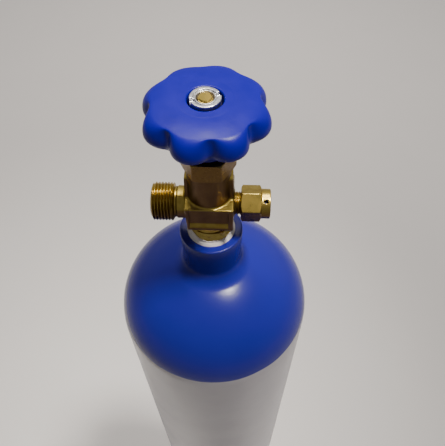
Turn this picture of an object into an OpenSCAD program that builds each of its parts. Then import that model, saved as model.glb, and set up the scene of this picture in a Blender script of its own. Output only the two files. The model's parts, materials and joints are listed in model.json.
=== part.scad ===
// High-pressure gas cylinder with a brass side-outlet valve worked by a handwheel.
// Millimetres, +Z up. The origin is the centre of the foot, at the floor.
// The outlet points along -X, the relief cap along +X, and the valve's front is -Y.

/* [Cylinder] */
// Outside diameter of the cylinder
body_d = 140; // [120:1:180]
// Height from the floor to the top of the neck
body_h = 865; // [400:5:1300]
// Thickness of the straight wall
wall = 4.5; // [3:0.1:7]
// Height of the domed shoulder
shoulder_h = 62; // [45:1:80]
// Extra thickness of the shoulder at its crown
crown_extra = 4.5; // [2:0.5:8]
// Height of the neck's top above the crown of the shoulder
neck_rise = 32; // [26:1:45]
// Outside diameter of the neck
neck_d = 40; // [36:0.5:54]
// Radius of the fillet between the shoulder and the neck
neck_fillet = 12; // [4:0.5:14]
// Rounding of the neck's outer edge
neck_edge = 1; // [0.5:0.1:2]
// Depth of the hollow under the cylinder
dish_h = 18; // [10:1:24]
// Thickness of the base at its middle
base_t = 9; // [6:0.5:14]
// Outer rounding of the foot
foot_round = 10; // [7:0.5:14]
// Width of the flat ring that the cylinder stands on
foot_flat = 6; // [3:0.5:9]

/* [Neck joint] */
// Diameter of the inlet thread at its large end
inlet_d = 27.8; // [24:0.1:30]
// Length of the inlet thread
inlet_l = 26; // [20:0.5:32]
// Length of inlet thread left above the neck
inlet_shown = 12; // [6:0.5:14]
// Change of diameter of the inlet thread for each millimetre of its length
inlet_taper = 0.12; // [0.06:0.01:0.14]
// Thickness of the tape that fills the thread
tape_t = 0.22; // [0.1:0.02:0.4]
// Height of the tape collar above the neck
tape_collar_h = 3; // [1:0.5:5]
// Width of the chamfer in the mouth of the neck
mouth_chamfer = 1.7; // [0.8:0.1:2.5]

/* [Valve body] */
// Width of the block, from the outlet side to the relief side
block_w = 28.4; // [24:0.2:36]
// Depth of the block, from front to back
block_d = 28.4; // [24:0.2:36]
// Height of the block
block_h = 18.8; // [17:0.2:26]
// Height of the block's underside above the neck
block_rise = 15.7; // [14:0.1:22]
// Rounding of the block's upright edges
block_edge = 1.2; // [0.6:0.1:3]
// Height of the outlet's axis above the block's underside
port_rise = 9.3; // [8.5:0.1:12]
// Thickness of the barrel's wall round the gland nut's thread
barrel_wall = 2.9; // [2:0.1:5]
// Height of the barrel
barrel_h = 23.1; // [22:0.1:32]
// Width of the ribs on the sides of the barrel
rib_w = 10; // [5:0.5:14]
// Height of the ribs
rib_h = 16; // [8:0.5:20]
// Depth of the panel sunk in the block's front
panel_depth = 1.2; // [0.5:0.1:2]
// Border round the panel
panel_border = 2.6; // [1.5:0.1:4]

/* [Outlet] */
// Diameter of the outlet thread over its crests
outlet_d = 22.9; // [20:0.1:26]
// Pitch of the outlet thread
outlet_pitch = 1.814; // [1.2:0.001:2.4]
// Number of thread crests on the outlet
outlet_crests = 8; // [5:1:9]
// Distance from the valve's axis to the outlet's end
outlet_reach = 34.3; // [33.5:0.1:42]
// Diameter of the shank behind the outlet thread
shank_d = 18.8; // [15:0.1:18.9]
// Diameter of the socket in the outlet's end
socket_d = 11.5; // [9:0.1:14]
// Depth of the straight part of the socket
socket_depth = 8; // [5:0.1:10]
// Diameter of the gas passages
gas_d = 5; // [3:0.1:5.6]
// Diameter of the slanted way to the relief cap
relief_way_d = 2.5; // [1.5:0.1:3]

/* [Valve works] */
// Diameter of the plug's thread
plug_d = 18; // [15:0.1:19]
// Rise of the plug for each turn of the handwheel
plug_pitch = 2; // [1:0.1:2.4]
// Turns of the handwheel from closed to fully open
open_turns = 1.75; // [1:0.05:2]
// Height of the seat ring's face above the block's underside
seat_rise = 7; // [6.5:0.1:8]
// Height of the seat ring above the floor of the chamber
seat_h = 1.2; // [0.8:0.1:1.6]
// Length of the plug's plain nose
nose_l = 6; // [5:0.1:8]
// Length of the plug's threaded part
plug_l = 9.5; // [8:0.1:10]
// Thickness of the pad in the plug's nose
pad_t = 2.5; // [1.5:0.1:3.5]
// Diameter of the stem in the gland nut
stem_d = 10.8; // [9.5:0.1:12]
// Diameter of the stem's threaded tip, which passes through the handwheel's square hole
tip_d = 7.2; // [6:0.1:8]
// Thickness of the stem's flange
flange_t = 2.6; // [2:0.1:3.4]
// Thickness of the washer above the flange
thrust_t = 1.5; // [1:0.1:2]
// Thickness of the drive tang
tang_t = 3; // [2:0.1:4]
// Width of the drive tang
tang_w = 11; // [8:0.1:12]
// Depth of the slot for the tang in the stem
tang_depth = 2; // [1:0.1:2.4]
// Thickness of the O-ring
o_ring_t = 1.9; // [1.5:0.1:2.4]
// Step from the plug's thread out to the gland nut's thread
gland_step = 1; // [0.5:0.1:2]
// Length of the gland nut's thread
gland_thread_l = 10; // [8:0.1:12]
// Width of the gland nut across its flats
gland_af = 27; // [24:0.5:32]
// Height of the gland nut's hexagon
gland_h = 12; // [8:0.1:13]

/* [Handwheel] */
// Diameter of the handwheel over its lobes
wheel_d = 67; // [58:1:90]
// Number of lobes
lobes = 8; // [5:1:10]
// Radius of each lobe's tip
lobe_r = 10; // [8:0.5:12]
// Height of the handwheel's rim
rim_h = 14.3; // [13:0.1:18]
// Height of the rim's lower edge above the gland nut
rim_rise = 18.6; // [16:0.1:24]
// Gap between the gland nut and the handwheel's hub
hub_gap = 2.4; // [1.5:0.1:5]
// Thickness of the hub's wall round the recess
hub_wall = 4; // [3:0.5:6]
// Step from the recess in to the metal insert
insert_step = 1; // [0.5:0.1:2]
// Height of the metal insert
insert_h = 15.5; // [12:0.5:17]
// Thickness of the web between hub and rim
web_t = 6.5; // [4:0.5:9]
// Angle of the first lobe from +X with the valve shut
wheel_angle = 30.5; // [0:0.5:44.5]
// Diameter of the slotted nut
nut_d = 15.7; // [12:0.1:16]
// Height of the slotted nut
nut_h = 6.5; // [4:0.1:8]
// Width of the slot across the nut
nut_slot_w = 2.4; // [1.5:0.1:3]
// Depth of the slot across the nut
nut_slot_h = 2; // [1:0.1:3]
// Angle of the slot from +X with the valve shut
nut_angle = 21; // [0:1:179]
// Thickness of the spring's wire
wire_d = 1.3; // [0.8:0.1:1.6]
// Turns of the spring
spring_turns = 4; // [3:1:5]
// Thickness of the washer under the spring
seat_washer_t = 1; // [0.6:0.1:1.6]

/* [Relief cap] */
// Diameter of the nipple's thread
nipple_d = 14; // [12:0.1:15]
// Distance from the valve's axis to the nipple's end
nipple_reach = 25; // [23:0.1:28]
// Distance from the valve's axis to the cap's hexagon
cap_start = 18.4; // [17:0.1:20]
// Width of the cap's hexagon across its flats
cap_af = 19; // [17:0.5:24]
// Length of the cap's hexagon
cap_hex_l = 11.9; // [10:0.1:14]
// Length of the cap's round end
cap_end_l = 5.4; // [5:0.1:8]
// Step from the hexagon's flats in to the cap's round end
cap_end_step = 0.6; // [0.2:0.1:1.5]
// Thickness of the cap's end wall
cap_end_t = 1.4; // [1:0.1:2]
// Diameter of the vent holes
vent_d = 2.6; // [1.5:0.1:3]
// Number of vent holes
vents = 4; // [2:1:6]
// Angle of the first vent hole above the front
vent_angle = 58; // [0:1:89]
// Angle of the normal of the cap's first flat above the front
flat_angle = 51; // [0:1:59]
// Step from the nipple's thread in to the burst disc's edge
disc_step = 1.5; // [1:0.1:2.5]
// Thickness of the burst disc
disc_t = 0.4; // [0.2:0.05:0.6]
// Thickness of the copper gasket
disc_gasket_t = 1; // [0.5:0.1:1.5]
// Thickness of the press ring
press_ring_t = 2; // [1.5:0.1:2.2]

/* [Clearances] */
// Clearance round a turning or sliding piece
run_gap = 0.05; // [0.02:0.01:0.1]
// Gap between pieces that don't touch
free_gap = 0.5; // [0.2:0.1:0.8]
// Clearance round the handwheel nut in its recess
recess_gap = 1.15; // [0.8:0.05:2]
// Clearance of the stem's tip in the square hole
tip_gap = 0.15; // [0.1:0.05:0.3]

/* [Hidden] */
fine = 64;
edge = 0.8; // chamfer on turned edges
tang_grip = 1; // least depth of the tang in the plug, beyond the plug's lift
nose_step = 1.6; // step from the plug's thread in to its nose
rim_t = 3; // thickness of the handwheel's rim inside its lobes
nut_edge = 0.5; // chamfer round the nut's top
collar_t = 1.6; // thickness of the nut's inner collar
collar_groove = 0.8; // width and depth of the groove round that collar
collar_drop = 0.2; // height of the nut's top above that collar
rim_round = 3.6; // rounding of the rim's lower edge
rim_top_w = 7.4; // width of the rounding over the rim
crown_h = 1.3; // rise of the handwheel's top from the rim to the hub

body_r = body_d / 2;
neck_r = neck_d / 2;
crown_z = body_h - neck_rise;
shoulder_z = crown_z - shoulder_h;

// Inlet: the thread's radius falls evenly from its large end downwards.
inlet_top_z = body_h + inlet_shown;
inlet_bottom_z = inlet_top_z - inlet_l;
function inlet_r(z) = (inlet_d - inlet_taper * (inlet_top_z - z)) / 2;
function mouth_r(z) = inlet_r(z) + tape_t;
pilot_l = 4;
neck_bore_bottom_z = inlet_bottom_z - pilot_l;

block_z = body_h + block_rise;
port_z = block_z + port_rise;
block_top_z = block_z + block_h;
barrel_top_z = block_top_z + barrel_h;

seat_z = block_z + seat_rise;
floor_z = seat_z - seat_h;
seat_d = gas_d + 2;
pad_d = gas_d + 5;
chamber_r = plug_d / 2;
gland_thread_d = plug_d + 2 * gland_step;
barrel_d = gland_thread_d + 2 * barrel_wall;
gland_bore_z = barrel_top_z - gland_thread_l;
plug_top_z = seat_z + nose_l + plug_l;
plug_lift = plug_pitch * open_turns;

square_w = tip_d + 2 * tip_gap;
flange_d = plug_d - 2 * free_gap;
flange_top_z = gland_bore_z - thrust_t;
flange_z = flange_top_z - flange_t;
gland_top_z = barrel_top_z + gland_h;

hub_z = gland_top_z + hub_gap;
rim_z = gland_top_z + rim_rise;
wheel_top_z = rim_z + rim_h;
insert_top_z = hub_z + insert_h;
nut_top_z = wheel_top_z + 1;
nut_z = nut_top_z - nut_h;
washer_top_z = insert_top_z + seat_washer_t;
wheel_r = wheel_d / 2;
recess_d = nut_d + 2 * recess_gap;
hub_d = recess_d + 2 * hub_wall;
insert_d = recess_d - 2 * insert_step;
spring_r = (recess_d + tip_d) / 4;

cap_hex_end = cap_start + cap_hex_l;
cap_end = cap_hex_end + cap_end_l;
cap_end_d = cap_af - 2 * cap_end_step;
disc_d = nipple_d - 2 * disc_step;
cap_cavity_end = cap_end - cap_end_t;

brass = "#b39440";
forged_brass = "#8f7430";

// Points on an arc, from one angle to another, in a profile's plane
function arc(c, r, from, to, steps) =
  [for (i = [0:steps]) let (a = from + (to - from) * i / steps) c + r * [cos(a), sin(a)]];

// Points on a quarter of an ellipse about the axis, between two radii
function dome(rx, rz, z, from_r, to_r, steps) =
  let (a = acos(from_r / rx), b = acos(to_r / rx))
  [for (i = [0:steps]) let (t = a + (b - a) * i / steps) [rx * cos(t), z + rz * sin(t)]];

// Slope of the dome, in degrees, at a radius
function dome_slope(r) = atan(shoulder_h / body_r * (r / body_r) / sqrt(1 - pow(r / body_r, 2)));

// Radius at which the neck's fillet leaves the dome, found by repeated correction
function fillet_foot(r, n) =
  n == 0 ? r : fillet_foot(neck_r + neck_fillet * (1 - sin(dome_slope(r))), n - 1);

module turned(points) { rotate_extrude($fn = fine) polygon(points); }

module along_x(z) { translate([0, 0, z]) rotate([0, 90, 0]) children(); }

module ring(inner_d, outer_d, z, h) {
  translate([0, 0, z]) difference() {
    cylinder(d = outer_d, h = h, $fn = fine);
    translate([0, 0, -1]) cylinder(d = inner_d, h = h + 2, $fn = fine);
  }
}

// Hexagonal prism whose ends are chamfered to a circle a little inside its corners
module chamfered_hexagon(af, h, chamfer) {
  corner_r = af / sqrt(3);
  intersection() {
    cylinder(r = corner_r, h = h, $fn = 6);
    turned([[0, 0], [corner_r - chamfer, 0], [corner_r, chamfer / 2], [corner_r, h - chamfer / 2],
            [corner_r - chamfer, h], [0, h]]);
  }
}

module cylinder_shell() {
  foot_r = body_r - foot_round;
  dish_r = foot_r - foot_flat;
  dish_sphere = (pow(dish_r, 2) + pow(dish_h, 2)) / (2 * dish_h);
  sphere_z = dish_h - dish_sphere;
  inner_r = body_r - wall;
  corner = foot_round - wall;
  floor_sphere = dish_sphere + base_t;
  corner_z = sphere_z + sqrt(pow(floor_sphere + corner, 2) - pow(inner_r - corner, 2));
  floor_angle = acos((inner_r - corner) / (floor_sphere + corner));
  dish_angle = acos(dish_r / dish_sphere);
  bore_r = inlet_r(neck_bore_bottom_z);
  foot = fillet_foot(neck_r + neck_fillet, 6);
  slope = dome_slope(foot);
  fillet_c = [neck_r + neck_fillet,
              shoulder_z + shoulder_h * sqrt(1 - pow(foot / body_r, 2)) + neck_fillet * cos(slope)];
  color("#d9d6d0") turned(concat(
    arc([0, sphere_z], dish_sphere, 90, dish_angle, 8),
    arc([foot_r, foot_round], foot_round, -90, 0, 6),
    dome(body_r, shoulder_h, shoulder_z, body_r, foot, 24),
    arc(fillet_c, neck_fillet, 270 - slope, 180, 4),
    arc([neck_r - neck_edge, body_h - neck_edge], neck_edge, 0, 90, 3),
    [[mouth_r(body_h) + mouth_chamfer, body_h],
     [mouth_r(body_h - mouth_chamfer), body_h - mouth_chamfer],
     [mouth_r(neck_bore_bottom_z), neck_bore_bottom_z]],
    dome(inner_r, shoulder_h - crown_extra - wall, shoulder_z, bore_r, inner_r, 20),
    arc([inner_r - corner, corner_z], corner, 0, floor_angle - 180, 4),
    arc([0, sphere_z], floor_sphere, floor_angle, 90, 8)
  ));
}

module thread_tape() {
  z0 = inlet_bottom_z + 1;
  collar_z = body_h + tape_collar_h;
  color("#e8e3dc") turned([
    [inlet_r(z0), z0],
    [mouth_r(z0), z0],
    [mouth_r(body_h - mouth_chamfer), body_h - mouth_chamfer],
    [mouth_r(body_h) + mouth_chamfer, body_h],
    [mouth_r(collar_z) + tape_t, collar_z],
    [inlet_r(collar_z), collar_z]
  ]);
}

// Profile of the outlet from the block outwards: shank, undercut, ring-shaped crests, end chamfer
function outlet_profile() =
  let (p = outlet_pitch, r = outlet_d / 2, root = r - 0.64 * p, start = outlet_reach - outlet_crests * p)
  concat(
    [[0, 0], [shank_d / 2, 0], [shank_d / 2, start - p],
     [root - 0.3, start - 0.8 * p], [root - 0.3, start]],
    [for (i = [0:outlet_crests - 2]) each
      [[root, start + i * p], [r, start + (i + 0.3) * p], [r, start + (i + 0.7) * p]]],
    [[root, outlet_reach - p], [r, outlet_reach - 0.7 * p], [r, outlet_reach - 0.5 * p],
     [root, outlet_reach], [0, outlet_reach]]
  );

module inlet_stem() {
  pitch = outlet_pitch;
  shown = floor(inlet_shown / pitch) - 1;
  undercut_r = inlet_r(inlet_top_z) - 1.4;
  turned(concat(
    [[0, neck_bore_bottom_z + 0.5], [inlet_r(inlet_bottom_z) - 0.7, neck_bore_bottom_z + 0.5],
     [inlet_r(inlet_bottom_z) - 0.7, inlet_bottom_z], [inlet_r(inlet_bottom_z), inlet_bottom_z],
     [inlet_r(body_h + tape_collar_h), body_h + tape_collar_h]],
    [for (i = [0:shown - 2])
      let (z = body_h + tape_collar_h + i * pitch)
      each [[inlet_r(z + 0.15 * pitch), z + 0.15 * pitch],
            [inlet_r(z) - 1, z + 0.5 * pitch],
            [inlet_r(z + 0.85 * pitch), z + 0.85 * pitch]]],
    [[undercut_r, inlet_top_z], [undercut_r, block_z + 1], [0, block_z + 1]]
  ));
}

// Cavity of the front panel, with a sloped lower edge
module panel_cut() {
  w = block_w - 2 * panel_border;
  h = block_h - panel_border - 1;
  translate([-w / 2, -block_d / 2, block_z + panel_border]) rotate([90, 0, 90]) linear_extrude(w)
    polygon([[-1, -1 - 0.6], [panel_depth, 1.2], [panel_depth, h - 0.4], [-1, h]]);
}

module valve_body() {
  oblique_drop = port_z - floor_z + 6.8;
  relief_angle = atan(oblique_drop / nipple_reach);
  color(forged_brass) difference() {
    union() {
      inlet_stem();
      translate([0, 0, block_z]) linear_extrude(block_h) difference() {
        square([block_w, block_d], center = true);
        for (i = [-1, 1], j = [-1, 1]) translate([i * block_w / 2, j * block_d / 2]) rotate(45)
          square(block_edge * sqrt(2), center = true);
      }
      translate([0, 0, block_top_z - 1]) cylinder(d = barrel_d, h = barrel_h + 1, $fn = fine);
      translate([-block_w / 2, -rib_w / 2, block_top_z - 1]) cube([block_w, rib_w, rib_h + 1]);
      translate([0, 0, port_z]) rotate([0, -90, 0]) turned(outlet_profile());
      along_x(port_z) cylinder(d = nipple_d, h = nipple_reach, $fn = fine);
    }
    panel_cut();
    // Chamber for the plug, with the seat ring left standing in its floor
    translate([0, 0, floor_z]) difference() {
      cylinder(r = chamber_r, h = gland_bore_z - floor_z + 1, $fn = fine);
      translate([0, 0, -1]) cylinder(d1 = pad_d, d2 = seat_d, h = seat_h + 1, $fn = fine);
    }
    translate([0, 0, gland_bore_z]) cylinder(d = gland_thread_d, h = gland_thread_l + 1, $fn = fine);
    translate([0, 0, neck_bore_bottom_z])
      cylinder(d = gas_d, h = seat_z + 1 - neck_bore_bottom_z, $fn = fine);
    along_x(port_z) mirror([0, 0, 1]) {
      translate([0, 0, chamber_r - 2]) cylinder(d = gas_d, h = outlet_reach - chamber_r, $fn = fine);
      translate([0, 0, outlet_reach - socket_depth])
        cylinder(d = socket_d, h = socket_depth + 1, $fn = fine);
      translate([0, 0, outlet_reach - socket_depth - (socket_d - gas_d) / 2])
        cylinder(d1 = gas_d, d2 = socket_d, h = (socket_d - gas_d) / 2, $fn = fine);
    }
    // Slanted passage from the inlet to the nipple, which passes under the chamber
    translate([0, 0, port_z - oblique_drop]) rotate([0, 90 - relief_angle, 0])
      cylinder(d = relief_way_d, h = nipple_reach / cos(relief_angle) + relief_way_d, $fn = fine);
  }
}

module gland_nut() {
  color(brass) difference() {
    union() {
      translate([0, 0, barrel_top_z]) chamfered_hexagon(gland_af, gland_h, 1.2);
      translate([0, 0, gland_bore_z])
        cylinder(d = gland_thread_d, h = gland_thread_l + 1, $fn = fine);
    }
    translate([0, 0, gland_bore_z - 1]) cylinder(d = stem_d + 2 * run_gap, h = gland_h + gland_thread_l + 2,
                                                 $fn = fine);
  }
}

module thrust_washer() {
  color("#e9e4d4") ring(stem_d + 2 * run_gap, flange_d, flange_top_z, thrust_t - run_gap);
}

groove_z = barrel_top_z - 1;
groove_r = stem_d / 2 + run_gap - o_ring_t + 0.1;

module stem() {
  square_z = gland_top_z + 0.5;
  half = stem_d / 2;
  color(brass) difference() {
    union() {
      turned([[0, flange_z], [flange_d / 2, flange_z], [flange_d / 2, flange_top_z], [half, flange_top_z],
              [half, groove_z], [groove_r, groove_z], [groove_r, groove_z + o_ring_t + 0.2],
              [half, groove_z + o_ring_t + 0.2], [half, square_z], [0, square_z]]);
      intersection() {
        translate([-square_w / 2, -square_w / 2, square_z - 1])
          cube([square_w, square_w, insert_top_z - square_z + 1]);
        translate([0, 0, square_z - 1]) cylinder(d = stem_d, h = insert_top_z - square_z + 2, $fn = fine);
      }
      turned([[0, insert_top_z - 1], [square_w / 2, insert_top_z - 1], [square_w / 2, insert_top_z],
              [tip_d / 2 - 0.6, insert_top_z], [tip_d / 2 - 0.6, washer_top_z],
              [tip_d / 2, washer_top_z + 0.6],
              [tip_d / 2, nut_top_z - 0.6], [tip_d / 2 - 0.6, nut_top_z], [0, nut_top_z]]);
    }
    translate([-flange_d, -tang_t / 2 - run_gap, flange_z - 1])
      cube([2 * flange_d, tang_t + 2 * run_gap, tang_depth + 1]);
  }
}

module stem_o_ring() {
  tube = (o_ring_t - 0.15) / 2;
  color("#26262a") translate([0, 0, groove_z + o_ring_t / 2 + 0.1]) rotate_extrude($fn = fine)
    translate([groove_r + tube + 0.01, 0]) circle(r = tube, $fn = 24);
}

module drive_tang() {
  top = flange_z + tang_depth - run_gap;
  bottom = plug_top_z - plug_lift - tang_grip;
  color(brass) translate([-tang_w / 2, -tang_t / 2, bottom]) cube([tang_w, tang_t, top - bottom]);
}

module valve_plug() {
  slot_h = 2 * plug_lift + tang_grip + free_gap;
  nose_r = chamber_r - nose_step;
  color(brass) difference() {
    turned([[0, seat_z + free_gap], [nose_r - edge, seat_z + free_gap], [nose_r, seat_z + free_gap + edge],
            [nose_r, seat_z + nose_l], [chamber_r - run_gap, seat_z + nose_l + edge],
            [chamber_r - run_gap, plug_top_z - edge], [chamber_r - edge, plug_top_z], [0, plug_top_z]]);
    translate([0, 0, seat_z - 1]) cylinder(d = pad_d, h = pad_t + 1, $fn = fine);
    translate([-tang_w / 2 - run_gap, -tang_t / 2 - run_gap, plug_top_z - slot_h])
      cube([tang_w + 2 * run_gap, tang_t + 2 * run_gap, slot_h + 1]);
  }
}

module plug_seat_pad() {
  color("#efe9d8") translate([0, 0, seat_z + run_gap]) cylinder(d = pad_d, h = pad_t - run_gap, $fn = fine);
}

// Outline of the handwheel: a disc with round lobes
module lobed_outline() {
  circle(r = wheel_r - 0.55 * lobe_r, $fn = fine);
  for (i = [0:lobes - 1]) rotate(wheel_angle + i * 360 / lobes) translate([wheel_r - lobe_r, 0])
    circle(r = lobe_r, $fn = 32);
}

module handwheel() {
  rim_in_r = wheel_r - lobe_r - rim_t;
  rim_c = [wheel_r - rim_top_w, rim_z + rim_round];
  rim_top_h = rim_h - rim_round - crown_h;
  web_z = wheel_top_z - web_t;
  color("#2138c4") difference() {
    intersection() {
      turned(concat(
        [[0, hub_z], [hub_d / 2 - edge, hub_z], [hub_d / 2, hub_z + edge], [hub_d / 2, web_z],
         [rim_in_r, web_z], [rim_in_r + 2 * edge, rim_z]],
        arc([wheel_r - rim_round, rim_z + rim_round], rim_round, -90, 0, 5),
        [for (i = [1:8]) rim_c + [rim_top_w * cos(i * 90 / 8), rim_top_h * sin(i * 90 / 8)]],
        [[hub_d / 2, wheel_top_z], [0, wheel_top_z]]
      ));
      translate([0, 0, hub_z - 1]) linear_extrude(wheel_top_z - hub_z + 2) lobed_outline();
    }
    translate([0, 0, insert_top_z]) cylinder(d = recess_d, h = wheel_top_z - insert_top_z + 1, $fn = fine);
    translate([0, 0, hub_z - 1]) cylinder(d = insert_d, h = insert_h + 2, $fn = fine);
  }
}

module handwheel_insert() {
  hole = square_w + 2 * run_gap;
  color("#9a9ca0") difference() {
    translate([0, 0, hub_z]) cylinder(d = insert_d, h = insert_h, $fn = fine);
    translate([-hole / 2, -hole / 2, hub_z - 1]) cube([hole, hole, insert_h + 2]);
  }
}

module spring_seat_washer() {
  color("#b9bbbe") ring(tip_d + 1, recess_d - 1, insert_top_z, seat_washer_t);
}

// Coil spring: a round wire swept up a helix in equal steps
module handwheel_spring() {
  sides = 8;
  steps = 16 * spring_turns;
  low = washer_top_z + wire_d / 2 + 0.02;
  high = nut_z - wire_d / 2 - 0.02;
  rings = [for (i = [0:steps]) let (t = 360 * spring_turns * i / steps, z = low + (high - low) * i / steps)
    for (j = [0:sides - 1]) let (a = 360 * j / sides, r = spring_r + wire_d / 2 * cos(a))
      [r * cos(t), r * sin(t), z + wire_d / 2 * sin(a)]];
  walls = [for (i = [0:steps - 1], j = [0:sides - 1]) let (k = (j + 1) % sides)
    each [[i * sides + j, (i + 1) * sides + j, (i + 1) * sides + k],
          [i * sides + j, (i + 1) * sides + k, i * sides + k]]];
  ends = [[for (j = [0:sides - 1]) j], [for (j = [sides - 1:-1:0]) steps * sides + j]];
  color("#a8abb0") polyhedron(points = rings, faces = concat(walls, ends));
}

module handwheel_nut() {
  collar_r = tip_d / 2 + collar_t;
  color("#c9ccd0") difference() {
    turned([[tip_d / 2, nut_z], [nut_d / 2, nut_z], [nut_d / 2, nut_top_z - nut_edge],
            [nut_d / 2 - nut_edge, nut_top_z], [collar_r + collar_groove, nut_top_z],
            [collar_r + collar_groove, nut_top_z - collar_groove], [collar_r, nut_top_z - collar_groove],
            [collar_r, nut_top_z - collar_drop], [tip_d / 2 + 0.7, nut_top_z - collar_drop],
            [tip_d / 2 + 0.3, nut_top_z - 1.6], [tip_d / 2, nut_top_z - 2]]);
    rotate(nut_angle) for (i = [0, 180]) rotate(i)
      translate([collar_r, -nut_slot_w / 2, nut_top_z - nut_slot_h])
        cube([nut_d, nut_slot_w, nut_slot_h + 1]);
  }
}

// Pieces of the relief cap lie on the cap's axis, measured from the valve's axis.
disc_start = nipple_reach;
gasket_start = disc_start + disc_t;
press_start = gasket_start + disc_gasket_t;
press_end = press_start + press_ring_t;

module relief_cap() {
  color(brass) along_x(port_z) difference() {
    union() {
      translate([0, 0, cap_start]) rotate(90 - flat_angle + 30) chamfered_hexagon(cap_af, cap_hex_l, 1);
      translate([0, 0, cap_hex_end - 1])
        turned([[0, 0], [cap_end_d / 2, 0], [cap_end_d / 2, cap_end_l + 0.4],
                [cap_end_d / 2 - 0.6, cap_end_l + 1], [0, cap_end_l + 1]]);
    }
    translate([0, 0, cap_start - 1]) cylinder(d = nipple_d, h = press_end - cap_start + 1, $fn = fine);
    translate([0, 0, press_end - 1]) cylinder(d = disc_d, h = cap_cavity_end - press_end + 1, $fn = fine);
    for (i = [0:vents - 1])
      translate([0, 0, cap_hex_end + cap_end_l / 2]) rotate([0, 90, 0])
        rotate([vent_angle + i * 360 / vents, 0, 0])
        rotate([90, 0, 0]) cylinder(d = vent_d, h = cap_end_d, $fn = fine);
  }
}

module burst_disc() {
  color("#b87a4b") along_x(port_z) translate([0, 0, disc_start])
    cylinder(d = disc_d, h = disc_t, $fn = fine);
}

module disc_gasket() {
  color("#b87a4b") along_x(port_z) ring(gas_d, disc_d, gasket_start, disc_gasket_t);
}

module disc_press_ring() {
  color(brass) along_x(port_z) ring(gas_d, nipple_d - 2 * run_gap, press_start, press_ring_t);
}

cylinder_shell();
thread_tape();
valve_body();
gland_nut();
stem();
stem_o_ring();
thrust_washer();
drive_tang();
valve_plug();
plug_seat_pad();
handwheel();
handwheel_insert();
spring_seat_washer();
handwheel_spring();
handwheel_nut();
relief_cap();
burst_disc();
disc_gasket();
disc_press_ring();
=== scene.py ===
import json
import math

import bmesh
import bpy
import numpy as np
from mathutils import Matrix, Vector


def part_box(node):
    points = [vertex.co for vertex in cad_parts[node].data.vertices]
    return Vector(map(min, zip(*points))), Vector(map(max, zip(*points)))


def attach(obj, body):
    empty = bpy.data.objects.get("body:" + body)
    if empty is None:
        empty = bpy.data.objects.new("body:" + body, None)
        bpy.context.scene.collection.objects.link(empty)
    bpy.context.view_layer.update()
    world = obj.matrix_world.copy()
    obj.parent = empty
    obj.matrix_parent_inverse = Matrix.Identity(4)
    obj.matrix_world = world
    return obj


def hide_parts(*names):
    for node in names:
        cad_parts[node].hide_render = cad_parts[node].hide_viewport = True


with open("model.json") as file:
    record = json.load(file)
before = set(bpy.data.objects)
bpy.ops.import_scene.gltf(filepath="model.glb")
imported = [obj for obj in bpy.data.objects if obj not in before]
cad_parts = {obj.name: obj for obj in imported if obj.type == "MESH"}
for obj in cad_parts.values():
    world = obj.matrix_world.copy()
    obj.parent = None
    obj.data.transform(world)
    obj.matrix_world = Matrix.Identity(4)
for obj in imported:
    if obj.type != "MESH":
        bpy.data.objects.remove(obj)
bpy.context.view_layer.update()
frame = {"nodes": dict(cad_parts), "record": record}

# ------------------------------------------------------------------ Cylinder shell
# A seamless high-pressure steel cylinder: the shoulder and neck are spun from the wall, and
# the base is pressed inwards, which leaves a foot ring. The steel is 4.5 mm thick.
# It is sprayed grey-white all over, and then blue over the shoulder and neck.


def box_mm(node):
    """Lowest and highest corner of a CAD node, in millimetres."""
    return [np.array(corner) * 1000 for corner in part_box(node)]


def arc(across, along, radius, start, end, steps, squash=1.0):
    """Points of an arc: a circle's angle from start to end in equal steps, its height squashed."""
    a = np.radians(np.linspace(start, end, steps + 1))
    return np.stack([across + radius * np.cos(a), along + radius * squash * np.sin(a)], -1)


def spaced(outline, step):
    """Points along a closed outline: each side is cut into equal parts no longer than step."""
    side = np.roll(outline, -1, 0) - outline
    parts = np.maximum(np.ceil(np.hypot(*side.T) / step).astype(int), 1)
    k = np.repeat(np.arange(len(outline)), parts)
    part = np.arange(parts.sum()) - np.repeat(np.cumsum(parts) - parts, parts)
    return outline[k] + side[k] * (part / parts[k])[:, None]


def piece(name, points, faces, crease=38):
    """Mesh from points in millimetres and faces. Doubles are merged, so that poles and seams
    close, faces point outwards, and edges that turn by more than crease degrees stay sharp."""
    mesh = bpy.data.meshes.new(name)
    mesh.from_pydata(points / 1000, [], faces)
    work = bmesh.new()
    work.from_mesh(mesh)
    bmesh.ops.remove_doubles(work, verts=work.verts, dist=2e-7)
    bmesh.ops.recalc_face_normals(work, faces=work.faces)
    work.to_mesh(mesh)
    work.free()
    mesh.shade_smooth()
    mesh.set_sharp_from_angle(angle=math.radians(crease))
    made = bpy.data.objects.new(name, mesh)
    bpy.context.scene.collection.objects.link(made)
    return made


def sweep(name, grid, crease=38, ring=True):
    """Surface over a grid of points, with four-sided faces. The columns close on themselves, and
    so do the rows where ring is true."""
    rows, columns = grid.shape[:2]
    i, j = np.meshgrid(np.arange(rows if ring else rows - 1), np.arange(columns), indexing="ij")
    on, beside = (i + 1) % rows, (j + 1) % columns
    faces = np.stack([i * columns + j, on * columns + j, on * columns + beside,
                      i * columns + beside], -1)
    return piece(name, grid.reshape(-1, 3), faces.reshape(-1, 4), crease)


def turned(name, outline, sides=96, shape=None, lie=None, crease=38):
    """Closed outline of (radius, height) carried round an axis in equal angles. shape gives a new
    radius from radius, height and angle; lie gives x, y and z from what were x, y and height."""
    angle = np.linspace(0, 2 * np.pi, sides, endpoint=False)[None, :]
    radius, height = (outline[:, k, None] + 0 * angle for k in (0, 1))
    if shape:
        radius = shape(radius, height, angle)
    x, y = radius * np.cos(angle), radius * np.sin(angle)
    return sweep(name, np.stack(lie(x, y, height) if lie else (x, y, height), -1), crease)


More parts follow.
